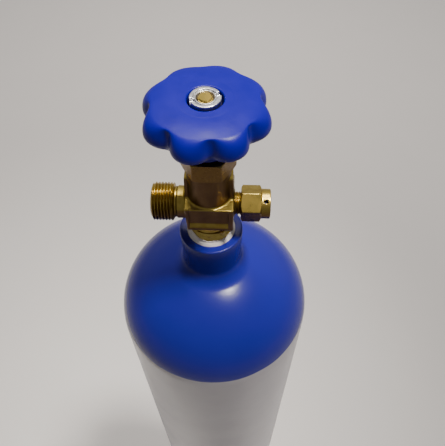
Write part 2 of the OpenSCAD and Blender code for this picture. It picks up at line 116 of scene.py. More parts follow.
def linear(colour):
    """A colour from its sRGB hex value: each channel by the sRGB curve, to linear light."""
    channels = [int(colour[k:k + 2], 16) / 255 for k in (1, 3, 5)]
    return [c / 12.92 if c <= 0.04045 else ((c + 0.055) / 1.055) ** 2.4 for c in channels] + [1.0]


def add(material, kind, links=(), **settings):
    """Add one node. settings are its own properties; links gives each input's value or source."""
    made = material.node_tree.nodes.new(kind)
    for key, value in settings.items():
        setattr(made, key, value)
    for socket, value in dict(links).items():
        if isinstance(value, bpy.types.NodeSocket):
            material.node_tree.links.new(value, made.inputs[socket])
        else:
            made.inputs[socket].default_value = value
    return made


def empty_material(name):
    """A material with no nodes in it."""
    material = bpy.data.materials.new(name)
    material.use_nodes = True
    material.node_tree.nodes.clear()
    return material


def dress(made, body, slot, material, *replaced):
    """Give a new piece its material and its body, and hide the CAD nodes it stands for. slot is not
    used.
    """
    made.data.materials.clear()
    made.data.materials.append(material)
    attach(made, body)
    if replaced:
        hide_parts(*replaced)


(_, _, _), (body_r, _, neck_top) = box_mm("cylinder_shell")
SHOULDER_H, NECK_RISE = 62, 32
NECK_R, NECK_WAIST, NECK_LIP, NECK_FILLET, NECK_EDGE = 20, 19, 7, 12, 1
WALL, CROWN, FOOT_R, DISH_R, DISH_H, BASE_T = 4.5, 4.5, 60, 54, 18, 9
MOUTH_R, MOUTH_CHAMFER, BORE_R, BORE_L = 13.4, 1.7, 12.1, 18
INNER_TOP_ANGLE, INNER_BASE_ANGLE = 79.6, 51
crown_z = neck_top - NECK_RISE
shoulder_z = crown_z - SHOULDER_H
dish_sphere = (DISH_R ** 2 + DISH_H ** 2) / (2 * DISH_H)
dish_angle = math.degrees(math.acos(DISH_R / dish_sphere))
inner_r = body_r - WALL
# The fillet touches the shoulder where both have the same slope, which is found by repetition.
foot_r = NECK_WAIST + NECK_FILLET
for _ in range(40):
    lean = math.atan(SHOULDER_H * foot_r / body_r ** 2 / math.sqrt(1 - (foot_r / body_r) ** 2))
    foot_r = NECK_WAIST + NECK_FILLET * (1 - math.sin(lean))
foot_angle = math.degrees(math.acos(foot_r / body_r))
foot_z = shoulder_z + SHOULDER_H * math.sin(math.radians(foot_angle))
fillet_z = foot_z + NECK_FILLET * math.cos(lean)
shell_outline = np.concatenate([
    arc(0, DISH_H - dish_sphere, dish_sphere, 90, dish_angle, 24),
    arc(FOOT_R, body_r - FOOT_R, body_r - FOOT_R, -90, 0, 10),
    arc(0, shoulder_z, body_r, 0, foot_angle, 96, SHOULDER_H / body_r),
    arc(NECK_WAIST + NECK_FILLET, fillet_z, NECK_FILLET, 268 - math.degrees(lean), 180, 22),
    [[NECK_R, neck_top - NECK_LIP]],
    arc(NECK_R - NECK_EDGE, neck_top - NECK_EDGE, NECK_EDGE, 0, 90, 8),
    [[MOUTH_R + MOUTH_CHAMFER, neck_top], [MOUTH_R, neck_top - MOUTH_CHAMFER],
     [BORE_R, neck_top - BORE_L], [BORE_R, crown_z - CROWN - WALL]],
    arc(0, shoulder_z, inner_r, INNER_TOP_ANGLE, 0, 32, (SHOULDER_H - CROWN - WALL) / inner_r),
    arc(0, DISH_H - dish_sphere, dish_sphere + BASE_T, INNER_BASE_ANGLE, 90, 16),
])
shell = turned("cylinder_shell_body", spaced(shell_outline, 12), sides=240, crease=30)

# Air-dried enamel over steel: blue on the shoulder and neck, grey-white below it. The gun
# leaves a faint orange peel about 2 mm across, and the masked line wanders by under a mm.
PAINT_LINE, WANDER, MASK_LOW, MASK_HIGH = 0.7785, 0.0016, 0.0003, 0.0015
enamel = empty_material("sprayed_enamel_on_steel")
place = add(enamel, "ShaderNodeTexCoord").outputs["Object"]
height = add(enamel, "ShaderNodeSeparateXYZ", {0: place}).outputs["Z"]
wander = add(enamel, "ShaderNodeTexNoise",
             {"Vector": place, "Scale": 1 / 0.018, "Detail": 3}).outputs["Fac"]
line = add(enamel, "ShaderNodeMath", {0: wander, 1: WANDER, 2: height},
           operation="MULTIPLY_ADD").outputs[0]
is_blue = add(enamel, "ShaderNodeMapRange",
              {"Value": line, "From Min": PAINT_LINE + MASK_LOW,
               "From Max": PAINT_LINE + MASK_HIGH},
              interpolation_type="SMOOTHSTEP").outputs[0]
cloud = add(enamel, "ShaderNodeTexNoise",
            {"Vector": place, "Scale": 1 / 0.045, "Detail": 5}).outputs["Fac"]
blue = add(enamel, "ShaderNodeMix",
           {"Factor": cloud, "A": linear("#1a1a7c"), "B": linear("#202086")}, data_type="RGBA")
white = add(enamel, "ShaderNodeMix",
            {"Factor": cloud, "A": linear("#a39fa9"), "B": linear("#b3afb8")}, data_type="RGBA")
paint = add(enamel, "ShaderNodeMix",
            {"Factor": is_blue, "A": white.outputs["Result"], "B": blue.outputs["Result"]},
            data_type="RGBA").outputs["Result"]
peel = add(enamel, "ShaderNodeTexNoise",
           {"Vector": place, "Scale": 1 / 0.0022, "Detail": 2, "Roughness": 0.4}).outputs["Fac"]
bump = add(enamel, "ShaderNodeBump",
           {"Height": peel, "Strength": 0.12, "Distance": 0.0002}).outputs["Normal"]
gloss = add(enamel, "ShaderNodeMapRange", {"Value": cloud, "To Min": 0.2, "To Max": 0.3}).outputs[0]
shader = add(enamel, "ShaderNodeBsdfPrincipled",
             {"Base Color": paint, "Roughness": gloss, "Normal": bump, "Specular IOR Level": 0.3})
add(enamel, "ShaderNodeOutputMaterial", {"Surface": shader.outputs[0]})
dress(shell, "root", "painted_steel", enamel, "cylinder_shell")

# ------------------------------------------------------------------ Inlet thread
# The valve's tapered male thread, cut on the forging, which screws into the neck. A few
# turns stay in sight between the tape and the undercut below the block.
(outlet_end, _, inlet_foot), (nipple_end, _, barrel_top) = box_mm("valve_body")
port_z = [m["pos_m"][2] for m in frame["record"]["mounts"] if m["name"] == "outlet"][0] * 1000
PORT_RISE = 9.3
block_z = port_z - PORT_RISE
INLET_R, INLET_TAPER, INLET_PITCH, INLET_DEPTH = 13.9, 0.06, 1.814, 1.3
UNDERCUT_R, GAS_R = 12.2, 2.5
inlet_top = neck_top + 12
INLET_FOOT_R, INLET_LEAD = INLET_R - INLET_TAPER * 25, 0.96


def cut_thread(radius, height, angle, pitch, depth, start, end, crest):
    """Right-hand thread on a turned surface. The place in the turn is height over pitch less the
    angle's share of a turn; the radius falls by depth along a V with a flat crest and a round root,
    and fades in and out over one pitch at both ends."""
    turn = (height / pitch - angle / (2 * np.pi)) % 1
    groove = np.clip((0.5 - np.abs(turn - 0.5)) / 0.5, 0, 1)
    groove = np.clip((1 - groove - crest) / (1 - crest), 0, 1)
    groove = 1 - (1 - groove) * np.where(groove > 0.85, 1 - (groove - 0.85) * 0.4, 1)
    fade = np.clip((height - start) / pitch, 0, 1) * np.clip((end - height) / pitch, 0, 1)
    return radius - depth * groove * fade


inlet_outline = np.array([
    [GAS_R, inlet_foot], [INLET_FOOT_R - INLET_LEAD, inlet_foot], [INLET_FOOT_R, inlet_foot + 5],
    [INLET_R, inlet_top - 1.6], [UNDERCUT_R, inlet_top - 0.4],
    [UNDERCUT_R, block_z + 1], [GAS_R, block_z + 1]])
inlet = turned(
    "inlet_thread", spaced(inlet_outline, 0.18), sides=144, crease=50,
    shape=lambda r, h, a: np.where((r > 11.5) & (h > inlet_foot + 3),
                                   cut_thread(r, h, a, INLET_PITCH, INLET_DEPTH, inlet_foot + 4,
                                              inlet_top + 0.4, 0.12), r))


# Machined brass: CuZn39Pb3, cut on a lathe and left bare. Fine tool lines run round each
# turned face. Painted shade: faces that look up keep the bright tones, and the sides are painted
# darker brown, for the dim room they reflect.
def brass(name, light, dark, painted_side_shade, roughness, lines, strength, grain):
    """Bare brass that mixes two tones in patches a few mm wide, with painted shade on its sides.
    lines are how many tool lines or grains fall in a metre along x, y and z; grain is their depth."""
    metal = empty_material(name)
    coordinates = add(metal, "ShaderNodeTexCoord")
    place = coordinates.outputs["Object"]
    patch = add(metal, "ShaderNodeTexNoise",
                {"Vector": place, "Scale": 1 / 0.006, "Detail": 4}).outputs["Fac"]
    patch = add(metal, "ShaderNodeMapRange",
                {"Value": patch, "From Min": 0.35, "From Max": 0.7}).outputs[0]
    tone = add(metal, "ShaderNodeMix", {"Factor": patch, "A": linear(light), "B": linear(dark)},
               data_type="RGBA")
    # Painted shade: by the object-space normal, faces that look up keep the tone, and the sides are
    # painted darker, towards the last colour given.
    up = add(metal, "ShaderNodeSeparateXYZ", {0: coordinates.outputs["Normal"]}).outputs["Z"]
    side = add(metal, "ShaderNodeMapRange", {
        "Value": up, "From Min": 0.0, "From Max": 0.7, "To Min": 0.95, "To Max": 0.0},
        interpolation_type="SMOOTHSTEP").outputs[0]
    tone = add(metal, "ShaderNodeMix",
               {"Factor": side, "A": tone.outputs["Result"], "B": linear(painted_side_shade)},
               data_type="RGBA")
    scaled = add(metal, "ShaderNodeMapping", {"Vector": place, "Scale": lines}).outputs["Vector"]
    marks = add(metal, "ShaderNodeTexNoise",
                {"Vector": scaled, "Scale": 1.0, "Detail": 3}).outputs["Fac"]
    bump = add(metal, "ShaderNodeBump",
               {"Height": marks, "Strength": strength, "Distance": grain}).outputs["Normal"]
    rough = add(metal, "ShaderNodeMapRange",
                {"Value": patch, "To Min": roughness, "To Max": roughness + 0.14}).outputs[0]
    shader = add(metal, "ShaderNodeBsdfPrincipled", {
        "Base Color": tone.outputs["Result"], "Metallic": 1.0, "Roughness": rough, "Normal": bump})
    add(metal, "ShaderNodeOutputMaterial", {"Surface": shader.outputs[0]})
    return metal


# The last colour of each brass is the painted shade on its sides.
turned_brass_z = brass("lathe_turned_brass_upright", "#dcc062", "#b0944a", "#6a5032", 0.24,
                       (120, 120, 3200), 0.25, 0.00006)
turned_brass_x = brass("lathe_turned_brass_crosswise", "#dcc062", "#b0944a", "#6a5032", 0.24,
                       (3200, 120, 120), 0.25, 0.00006)
bright_brass = brass("freshly_cut_brass", "#ecd478", "#ccb060", "#b89850", 0.16, (120, 120, 3200),
                     0.2, 0.00004)
dress(inlet, "root", "forged_brass", bright_brass, "valve_body")

# ------------------------------------------------------------------ Outlet thread
# Male thread for the regulator's coupling nut, with a socket and a 45 degree seat in its end.
OUTLET_R, OUTLET_PITCH, OUTLET_DEPTH, OUTLET_START = 11.45, 1.814, 1.15, 19.2
OUTLET_NECK_R, OUTLET_ROOT_R, SOCKET_R, SOCKET_L = 9.2, 8.6, 5.75, 8
reach = -outlet_end
outlet_outline = np.array([
    [GAS_R, 12], [OUTLET_ROOT_R, 12], [OUTLET_ROOT_R, OUTLET_START],
    [OUTLET_NECK_R, OUTLET_START + 0.3], [OUTLET_NECK_R, OUTLET_START + 1.2],
    [OUTLET_R, OUTLET_START + 2.2], [OUTLET_R, reach - 1.5], [OUTLET_R - 0.8, reach - 0.6],
    [OUTLET_R - 2.0, reach], [SOCKET_R + 0.3, reach], [SOCKET_R, reach - 0.3],
    [SOCKET_R, reach - SOCKET_L],
    [GAS_R, reach - SOCKET_L - SOCKET_R + GAS_R]])
outlet = turned(
    "outlet_thread", spaced(outlet_outline, 0.14), sides=160, crease=50,
    lie=lambda x, y, h: (-h, y, port_z + x),
    shape=lambda r, h, a: np.where((r > 8.8) & (h > OUTLET_START + 1),
                                   cut_thread(r, h, a, OUTLET_PITCH, OUTLET_DEPTH, OUTLET_START + 1,
                                              reach + 0.6, 0.16), r))
dress(outlet, "root", "forged_brass", turned_brass_x, "valve_body")

# ------------------------------------------------------------------ Relief nipple thread
# The short male nipple opposite the outlet, which the relief cap screws onto.
NIPPLE_R, NIPPLE_PITCH, NIPPLE_DEPTH, RELIEF_R = 7, 1.5, 0.8, 1.25
nipple_outline = np.array([
    [RELIEF_R, 12], [NIPPLE_R, 12], [NIPPLE_R, nipple_end - 0.5], [NIPPLE_R - 0.5, nipple_end],
    [RELIEF_R, nipple_end]])
nipple = turned(
    "relief_nipple_thread", spaced(nipple_outline, 0.14), sides=128, crease=50,
    lie=lambda x, y, h: (h, y, port_z + x),
    shape=lambda r, h, a: np.where(r > 6.2,
                                   cut_thread(r, h, a, NIPPLE_PITCH, NIPPLE_DEPTH, 14.2,
                                              nipple_end + 0.5, 0.16), r))
dress(nipple, "root", "forged_brass", turned_brass_x, "valve_body")

# ------------------------------------------------------------------ Valve forging
# Hot-forged brass block with a barrel for the valve works, ribs on the barrel's sides, and a
# shank to the outlet with eight faint facets. Blended forged corners have no two-parameter
# surface, so the block is the zero level of a distance field, evaluated as whole arrays.
BLOCK_HALF, BLOCK_H, BLOCK_EDGE, BLOCK_LEFT, BLOCK_LEAN = 14.2, 18.8, 0.7, 12.7, 0.045
BARREL_R, BARREL_TOP_R, RIB_W, RIB_H, SHANK_R, BOSS_R = 12.9, 12.3, 10, 16, 9.9, 8.2
PANEL_HALF, PANEL_LOW, PANEL_TOP, PANEL_DEPTH, PANEL_BEVEL = 11.4, 2.4, 17.6, 1.5, 2.6
CHAMBER_R, GLAND_BORE_R, GLAND_BORE_L, CHAMBER_FLOOR = 9, 10, 10, 5.8
block_top = block_z + BLOCK_H


def rod(across, along, radius, low, high, edge):
    """Distance to a solid cylinder between two heights, its rims rounded by edge."""
    out, end = across - radius + edge, np.abs(along - (low + high) / 2) - (high - low) / 2 + edge
    return np.minimum(np.maximum(out, end), 0) + np.hypot(np.maximum(out, 0),
                                                          np.maximum(end, 0)) - edge


def bar(x, y, z, low, high, edge):
    """Distance to a solid box between two corners, its edges rounded by edge."""
    q = [np.abs(v - (a + b) / 2) - (b - a) / 2 + edge for v, a, b in zip((x, y, z), low, high)]
    inside = np.minimum(np.maximum(np.maximum(q[0], q[1]), q[2]), 0)
    return inside + np.sqrt(sum(np.maximum(v, 0) ** 2 for v in q)) - edge


def join(a, b, blend):
    """Union of two distances, with a fillet: the lesser, less a square term where they are near."""
    near = np.maximum(blend - np.abs(a - b), 0) / blend
    return np.minimum(a, b) - near * near * blend / 4


def cut(a, b, blend):
    """The first distance with the second taken away, its new edges rounded."""
    return -join(-a, b, blend)


def forging_field(x, y, z):
    """Distance to the forging: block, tapered barrel, ribs and shank joined, panel and bores cut.
    The block's side towards the outlet leans in, so that it narrows as it rises."""
    up = z - block_z
    turn = np.hypot(x, y)
    low, high = (-BLOCK_HALF, -BLOCK_HALF, 0), (BLOCK_HALF, BLOCK_HALF, BLOCK_H)
    block = np.maximum(bar(x, y, up, low, high, BLOCK_EDGE), -BLOCK_LEFT - x - BLOCK_LEAN * up)
    share = np.clip((up - BLOCK_H) / (barrel_top - block_top), 0, 1)
    barrel = rod(turn, up, BARREL_R + (BARREL_TOP_R - BARREL_R) * share, 8, barrel_top - block_z,
                 0.5)
    lean = np.clip(up - BLOCK_H, 0, RIB_H) / RIB_H
    rib_x, rib_y = BLOCK_HALF - 0.5 * lean, RIB_W / 2 - 0.7 * lean
    rib = bar(x, y, up, (-rib_x, -rib_y, 10), (rib_x, rib_y, BLOCK_H + RIB_H), BLOCK_EDGE)
    drop = z - port_z
    across = np.hypot(y, drop)
    square = np.maximum(np.abs(y), np.abs(drop))
    facets = np.maximum(square, (np.abs(y) + np.abs(drop)) / math.sqrt(2) + 0.35)
    narrowed = np.maximum(-x - OUTLET_START + 0.5, 0)
    shank = (0.3 * facets + 0.7 * across - SHANK_R + narrowed) / 1.4
    shank = np.maximum(shank, np.maximum(-x - OUTLET_START, x - 5))
    nipple_boss = rod(across, x, BOSS_R, 5, BLOCK_HALF + 0.7, 0.4)
    solid = join(block, barrel, 1.5)
    solid = join(solid, rib, 1.2)
    solid = join(solid, shank, 1.4)
    solid = join(solid, nipple_boss, 0.6)
    slope = np.clip((up - PANEL_LOW) / PANEL_BEVEL, 0, 1) * PANEL_DEPTH - (y + BLOCK_HALF)
    panel = np.maximum(np.maximum(np.abs(x) - PANEL_HALF, up - PANEL_TOP),
                       np.maximum(PANEL_LOW - up, -slope))
    solid = cut(solid, np.maximum(panel, y), 0.5)
    chamber = rod(turn, up, CHAMBER_R, CHAMBER_FLOOR, 60, 0.3)
    gland = rod(turn, z, GLAND_BORE_R, barrel_top - GLAND_BORE_L, barrel_top + 20, 0.3)
    way = rod(turn, up, GAS_R, -9, 40, 0.1)
    side = rod(across, x, GAS_R, -60, 0, 0.1)
    for hollow in (chamber, gland, way, side):
        solid = cut(solid, hollow, 0.2)
    return solid


def from_field(name, field, low, high, step, crease=60):
    """Surface where a distance field is zero. Each cell of a cubic grid that the surface crosses
    gets one point, at the mean of the crossings on its twelve edges. Each crossed edge gets one
    face, between the four cells round it. The points then move down the field's slope to zero."""
    axes = [np.arange(a, b + step, step) for a, b in zip(low, high)]
    value = field(*np.meshgrid(*axes, indexing="ij")).astype(np.float32)
    inside = value < 0
    cells = [n - 1 for n in value.shape]
    total, count = np.zeros(cells + [3], np.float32), np.zeros(cells, np.float32)
    for axis in range(3):
        for one in (0, 1):
            for two in (0, 1):
                start = [0, 0, 0]
                start[(axis + 1) % 3], start[(axis + 2) % 3] = one, two
                end = list(start)
                end[axis] = 1
                a, b = (value[tuple(slice(s, s + n) for s, n in zip(corner, cells))]
                        for corner in (start, end))
                crossed = (a < 0) != (b < 0)
                share = np.where(crossed, a / np.where(crossed, a - b, 1), 0)
                for k in range(3):
                    total[..., k] += crossed * (start[k] if k != axis else share)
                count += crossed
    used = count > 0
    number = np.cumsum(used.ravel()).reshape(used.shape) - 1
    points = np.argwhere(used) + total[used] / count[used][:, None]
    points = points * step + np.array([a[0] for a in axes])
    faces = []
    for axis in range(3):
        one, two = (axis + 1) % 3, (axis + 2) % 3
        a = inside.take(range(cells[axis]), axis)
        b = inside.take(range(1, cells[axis] + 1), axis)
        crossed = np.argwhere(a != b)
        crossed = crossed[(crossed[:, one] > 0) & (crossed[:, two] > 0)]
        crossed = crossed[(crossed[:, one] < cells[one]) & (crossed[:, two] < cells[two])]
        flip = a[tuple(crossed.T)]
        corners = []
        for s, t in ((1, 1), (0, 1), (0, 0), (1, 0)):
            at = crossed.copy()
            at[:, one] -= s
            at[:, two] -= t
            corners.append(number[tuple(at.T)])
        quad = np.stack(corners, -1)
        faces.append(np.where(flip[:, None], quad, quad[:, ::-1]))
    steps = 0.01 * np.eye(3)
    for _ in range(4):
        here = field(*points.T)
        slope = [(field(*(points + s).T) - field(*(points - s).T)) / 0.02 for s in steps]
        slope = np.stack(slope, -1)
        steep = np.maximum((slope ** 2).sum(-1), 0.25)
        points = points - np.clip(here / steep, -step / 2, step / 2)[:, None] * slope
    return piece(name, points, np.concatenate(faces), crease)


forging = from_field("valve_forging", forging_field, (-20.5, -15.5, block_z - 1.5),
                     (16.5, 15.5, barrel_top + 1.2), 0.42)
# Hot-forged brass, blasted clean: the skin keeps a sandy grain about half a millimetre across.
# Its last colour is the painted shade on its sides.
blasted_brass = brass("blasted_forged_brass", "#d8bf62", "#ac9246", "#5a4030", 0.34,
                      (1500, 1500, 1500), 0.55, 0.00018)
dress(forging, "root", "forged_brass", blasted_brass, "valve_body")

# ------------------------------------------------------------------ Thread tape
# White PTFE tape wound over the inlet thread. The neck squeezes it up into a smooth collar,
# and its torn edge climbs the thread on the outlet's side.
TAPE_COLLAR_R, TAPE_T, TAPE_SHOWN, THREAD_AT_NECK_R = 15.05, 0.25, 3.4, 13.35
angle = np.linspace(0, 2 * np.pi, 240, endpoint=False)[None, :]
# The edge wavers by waves of a few counts round the turn, and climbs in two smooth humps.
waves = ((3, 0.35, 1.0), (7, 0.28, 4.2), (13, 0.2, 0.7), (29, 0.12, 2.6))
humps = ((5.2, 205, 0.5), (2.0, 20, 0.6))
ragged = sum(a * np.sin(k * angle + p) for k, a, p in waves)
climb = sum(h * np.exp(-((angle - np.radians(at)) / w) ** 2) for h, at, w in humps)
tape_top = neck_top + TAPE_SHOWN + climb + ragged
share = np.concatenate([np.linspace(0, 1, 40), np.linspace(1, 0, 40)])[:, None]
inner = np.concatenate([np.zeros(40), np.ones(40)])[:, None]
rise = neck_top - 3 + (tape_top - neck_top + 3) * share
skin_r = INLET_R - INLET_TAPER * (inlet_top - rise) + 0.18
above = rise - neck_top
swell = np.where(above < 0, np.clip(1 + above / 1.7, 0, 1), np.clip(1 - above / 2.6, 0, 1) ** 0.7)
wound = 0.07 * np.sin(2 * np.pi * rise / 0.9 - angle) + 0.05 * np.sin(17 * angle + 5 * rise)
skin = (TAPE_COLLAR_R - THREAD_AT_NECK_R) * swell + TAPE_T + wound * np.clip(above / 0.6, 0, 1)
tape_r = skin_r + (1 - inner) * skin - inner * 0.1
tape_grid = np.stack([tape_r * np.cos(angle), tape_r * np.sin(angle), rise + 0 * angle], -1)
tape = sweep("thread_tape_wrap", tape_grid, 50)
# Creases run round the tape: this many fall in a metre along x, y and z.
TAPE_CREASES = (260, 260, 1400)
ptfe = empty_material("wound_ptfe_tape")
place = add(ptfe, "ShaderNodeTexCoord").outputs["Object"]
stretched = add(ptfe, "ShaderNodeMapping",
                {"Vector": place, "Scale": TAPE_CREASES}).outputs["Vector"]
creases = add(ptfe, "ShaderNodeTexNoise",
              {"Vector": stretched, "Scale": 1.0, "Detail": 4}).outputs["Fac"]
soil = add(ptfe, "ShaderNodeTexNoise",
           {"Vector": place, "Scale": 1 / 0.004, "Detail": 4}).outputs["Fac"]
soil = add(ptfe, "ShaderNodeMapRange",
           {"Value": soil, "From Min": 0.45, "From Max": 0.8}).outputs[0]
white = add(ptfe, "ShaderNodeMix", {"Factor": soil, "A": linear("#f1ebe6"), "B": linear("#cfc4bb")},
            data_type="RGBA")
bump = add(ptfe, "ShaderNodeBump",
           {"Height": creases, "Strength": 0.5, "Distance": 0.00015}).outputs["Normal"]
shader = add(ptfe, "ShaderNodeBsdfPrincipled", {
    "Base Color": white.outputs["Result"], "Roughness": 0.5, "Normal": bump, "IOR": 1.35,
    "Subsurface Weight": 0.15, "Subsurface Radius": (1, 1, 1), "Subsurface Scale": 0.0006})
add(ptfe, "ShaderNodeOutputMaterial", {"Surface": shader.outputs[0]})
dress(tape, "root", "ptfe_tape", ptfe, "thread_tape")

# ------------------------------------------------------------------ Gland nut
# Hexagonal brass nut screwed into the barrel, which holds the stem down. It is turned from
# hexagon bar, and chamfered at both ends.
(_, _, gland_foot), (_, _, gland_top) = box_mm("gland_nut")
GLAND_AF, STEM_R, CHAMFER, WEAR, FIT, FACE_R, FACE_H = 27, 5.4, 1.3, 0.15, 0.05, 8.4, 0.15
gland_corner = GLAND_AF / math.sqrt(3)


def hexagon(radius, height, angle, across, low, high, start):
    """Radius cut to a hexagon with chamfered ends: the outline is half the flats over the cosine of
    the angle from the nearest flat, the chamfer is a cone 30 degrees off the end, and a rounded
    minimum of the two scales the radius, less and less towards the axis."""
    corner = across / math.sqrt(3)
    side = across / 2 / np.cos(angle % (np.pi / 3) - np.pi / 6)
    cone = corner - CHAMFER + 1.73 * np.minimum(height - low, high - height)
    limit = np.minimum(np.minimum(side, cone), corner - WEAR)
    fade = np.clip((radius - start) / (corner - start), 0, 1)
    return np.where(height >= low - 1e-6, radius * (1 + (limit / corner - 1) * fade), radius)


gland_outline = np.array([
    [STEM_R + FIT, gland_foot], [GLAND_BORE_R - 0.6, gland_foot],
    [GLAND_BORE_R - FIT, gland_foot + 0.6], [GLAND_BORE_R - FIT, barrel_top],
    [gland_corner, barrel_top], [gland_corner, gland_top], [FACE_R + 0.2, gland_top],
    [FACE_R, gland_top - FACE_H], [STEM_R + 0.7, gland_top - FACE_H],
    [STEM_R + FIT, gland_top - 0.8]])
gland = turned("gland_nut_hexagon", spaced(gland_outline, 0.26), sides=240, crease=24,
               shape=lambda r, h, a: hexagon(r, h, a, GLAND_AF, barrel_top, gland_top, 8.8))
dress(gland, "root", "machined_brass", turned_brass_z, "gland_nut")

# ------------------------------------------------------------------ Relief cap
# Hexagonal brass cap over the burst disc, with a round end drilled with four vent holes. Gas
# leaves through them if the disc bursts. Made from hexagon bar; a distance field gives the
# holes their true edges.
(cap_start, _, _), (cap_end, _, _) = box_mm("relief_cap")
CAP_AF, CAP_HEX_L, CAP_END_R, CAP_CHAMFER, CAP_WEAR = 19, 11.9, 8.9, 0.9, 0.08
CAP_BORE_R, CAP_END_T, VENT_R, VENT_RISE, FLAT_ANGLE, VENT_ANGLE = 5.5, 1.4, 1.3, 2.7, 51, 58


def cap_field(x, y, z):
    """Distance to the cap: a chamfered hexagon and a round end, less thread, cavity and vents."""
    drop = z - port_z
    turn = np.hypot(y, drop)
    angle = np.arctan2(drop, -y) - math.radians(FLAT_ANGLE)
    flat = turn * np.cos((angle + np.pi / 6) % (np.pi / 3) - np.pi / 6) - CAP_AF / 2
    ends = np.abs(x - cap_start - CAP_HEX_L / 2) - CAP_HEX_L / 2
    corner = CAP_AF / math.sqrt(3)
    cone = (turn + 1.73 * (ends + CAP_CHAMFER) - corner) / 2
    nut = np.maximum(np.maximum(np.maximum(flat, ends), cone), turn - corner + CAP_WEAR)
    end = rod(turn, x, CAP_END_R, cap_start + 4, cap_end, 0.5)
    solid = join(nut, end, 0.4)
    solid = cut(solid, rod(turn, x, NIPPLE_R + 0.02, cap_start - 5, cap_start + 10, 0.1), 0.5)
    solid = cut(solid, rod(turn, x, CAP_BORE_R, cap_start + 5, cap_end - CAP_END_T, 0.1), 0.2)
    middle = cap_start + CAP_HEX_L + VENT_RISE
    for k in range(4):
        a = math.radians(VENT_ANGLE + 90 * k)
        out, beside = drop * math.sin(a) - y * math.cos(a), drop * math.cos(a) + y * math.sin(a)
        solid = cut(solid, rod(np.hypot(x - middle, beside), out, VENT_R, 4, 14, 0.1), 0.25)
    return solid


cap = from_field("relief_cap_hexagon", cap_field, (cap_start - 0.9, -11.8, port_z - 11.8),
                 (cap_end + 0.9, 11.8, port_z + 11.8), 0.24, crease=30)
dress(cap, "root", "machined_brass", turned_brass_x, "relief_cap")

# ------------------------------------------------------------------ Stem
# Brass spindle turned from bar: a flange and a slot for the tang below, an O-ring groove, a
# square that drives the handwheel, and a threaded tip for the nut.
(_, _, stem_foot), (_, _, stem_top) = box_mm("stem")
(_, _, hub_z), (wheel_r, _, wheel_top) = box_mm("handwheel")
_, (_, _, insert_top) = box_mm("handwheel_insert")
_, (_, _, washer_top) = box_mm("spring_seat_washer")
(_, _, nut_z), (nut_r, _, nut_top) = box_mm("handwheel_nut")
TIP_R, TIP_ROUND, FLANGE_R, FLANGE_H, SQUARE = 3.6, 0.55, 8.5, 2.6, 7.5
GROOVE_DEPTH, GROOVE_H = 1.75, 2.1
groove_z = barrel_top - 1
groove_top, groove_r = groove_z + GROOVE_H, STEM_R - GROOVE_DEPTH
stem_outline = np.array([
    [0, stem_foot], [FLANGE_R - 0.3, stem_foot], [FLANGE_R, stem_foot + 0.3],
    [FLANGE_R, stem_foot + FLANGE_H], [STEM_R, stem_foot + FLANGE_H], [STEM_R, groove_z],
    [groove_r, groove_z], [groove_r, groove_top], [STEM_R, groove_top], [STEM_R, gland_top + 0.3],
    [STEM_R - 0.2, gland_top + 0.5], [STEM_R - 0.2, insert_top],
    [TIP_R - 0.5, insert_top + 0.05], [TIP_R - 0.5, washer_top], [TIP_R, washer_top + 0.6],
    [TIP_R, stem_top - TIP_ROUND], [TIP_R - TIP_ROUND, stem_top], [0, stem_top]])


def stem_shape(radius, height, angle):
    """Square between the gland and the insert's top, a fine thread on the tip, else round."""
    side = SQUARE / 2 / np.maximum(np.abs(np.cos(angle)), np.abs(np.sin(angle)))
    squared = (height > gland_top + 0.4) & (height < insert_top + 0.01)
    radius = np.where(squared, np.minimum(radius, side), radius)
    tip = (height > washer_top) & (radius > TIP_R - 0.2) & (height < stem_top - 0.5)
    return np.where(tip, cut_thread(radius, height, angle, 1.0, 0.45, washer_top + 0.4,
                                    stem_top + 0.2, 0.2), radius)


stem = turned("stem_spindle", spaced(stem_outline, 0.2), sides=128, shape=stem_shape, crease=30)
dress(stem, "spindle", "machined_brass", turned_brass_z, "stem")

# ------------------------------------------------------------------ Handwheel
# Royal-blue nylon handwheel, injection moulded in one piece: a flat-topped dome with eight
# finger lobes, and a hub moulded round a steel insert. Its recess holds the spring and the nut.
LOBES, LOBE_R, VALLEY_R, WHEEL_ANGLE, LOBE_START, LOBE_FADE = 8, 10, 27.8, 30.4, 25, 7.8
RECESS_R, INSERT_R, HUB_R, WEB_T = 9, 8, 13, 6.5
RIM_H, RIM_ROUND, CROWN_R, CROWN_H = 14.3, 3.6, 25.5, 9.6
rim_z = wheel_top - RIM_H
wheel_outline = np.concatenate([
    [[INSERT_R, hub_z], [HUB_R - 0.8, hub_z]], arc(HUB_R - 0.8, hub_z + 0.8, 0.8, -90, 0, 4),
    arc(HUB_R + 1.5, wheel_top - WEB_T - 1.5, 1.5, 180, 90, 5),
    arc(18.2, wheel_top - WEB_T - 2.8, 1.6, 90, 10, 5),
    arc(22.6, rim_z + 1.6, 1.6, 190, 270, 5),
    arc(wheel_r - RIM_ROUND, rim_z + RIM_ROUND, RIM_ROUND, -90, 0, 8),
    arc(CROWN_R, rim_z + RIM_ROUND, wheel_r - CROWN_R, 3, 84, 24, CROWN_H / (wheel_r - CROWN_R)),
])
# From the crown of the rim the top rises a little, ever more slowly, to the lip of the recess.
lip_r = RECESS_R + 0.9
share = np.linspace(0, 1, 22)[1:]
crown_r, crown_z = wheel_outline[-1]
top_r = crown_r + (lip_r + 4.2 - crown_r) * share
top_z = crown_z + (wheel_top - 0.08 - crown_z) * (1 - (1 - share) ** 2.2)
wheel_outline = np.concatenate([
    wheel_outline, np.stack([top_r, top_z], -1), [[lip_r + 3.4, wheel_top - 0.03]],
    arc(lip_r, wheel_top - 0.9, 0.9, 90, 180, 6),
    [[RECESS_R, insert_top], [INSERT_R, insert_top]]])


